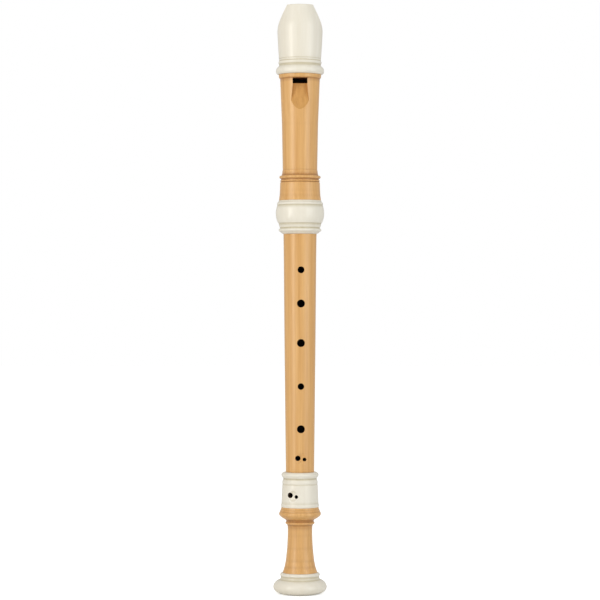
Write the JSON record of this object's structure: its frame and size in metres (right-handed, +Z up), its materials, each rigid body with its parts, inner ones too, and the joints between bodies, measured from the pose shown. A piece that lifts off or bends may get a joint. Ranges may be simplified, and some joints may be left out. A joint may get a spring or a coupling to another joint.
{
  "type": "alto recorder",
  "caption": "Alto recorder in pale turned wood with ivory-coloured mounts; head, middle and foot joints pull apart on corked tenons, and a block forms the windway.",
  "frame": {"origin": "centre of the foot's end, in the plane that the recorder stands on", "axes": "+Z up along the bore towards the beak, -Y towards the side with the window and the finger holes, +X to the viewer's right seen from that side"},
  "size_m": [0.043, 0.043, 0.47],
  "materials": {
    "wood": "oiled, satin",
    "imitation_ivory": "polished",
    "cork": "bare cork, matt",
    "cedar": "bare, matt"
  },
  "bodies": {
    "middle": {"middle_joint": "wood"},
    "upper_cork": {"upper_tenon_cork": "cork"},
    "head": {"head_joint": "wood", "beak": "imitation_ivory", "head_socket_ring": "imitation_ivory"},
    "block": {"block": "cedar"},
    "lower_cork": {"lower_tenon_cork": "cork"},
    "foot": {"foot_joint": "wood", "foot_sleeve": "imitation_ivory", "foot_bell_ring": "imitation_ivory"}
  },
  "joints": [
    {"name": "head_turn", "type": "hinge", "parent": "middle", "child": "upper_cork", "pos_m": [0, 0, 0.2875], "axis": [0, 0, 1], "continuous": true},
    {"name": "head_pull", "type": "slide", "parent": "upper_cork", "child": "head", "axis": [0, 0, 1], "range_m": [0, 0.022]},
    {"name": "foot_turn", "type": "hinge", "parent": "middle", "child": "lower_cork", "pos_m": [0, 0, 0.09745], "axis": [0, 0, 1], "continuous": true},
    {"name": "foot_pull", "type": "slide", "parent": "lower_cork", "child": "foot", "axis": [0, 0, -1], "range_m": [0, 0.014]},
    {"name": "block_push", "type": "slide", "parent": "head", "child": "block", "axis": [0, 0, 1], "range_m": [0, 0.058]}
  ]
}
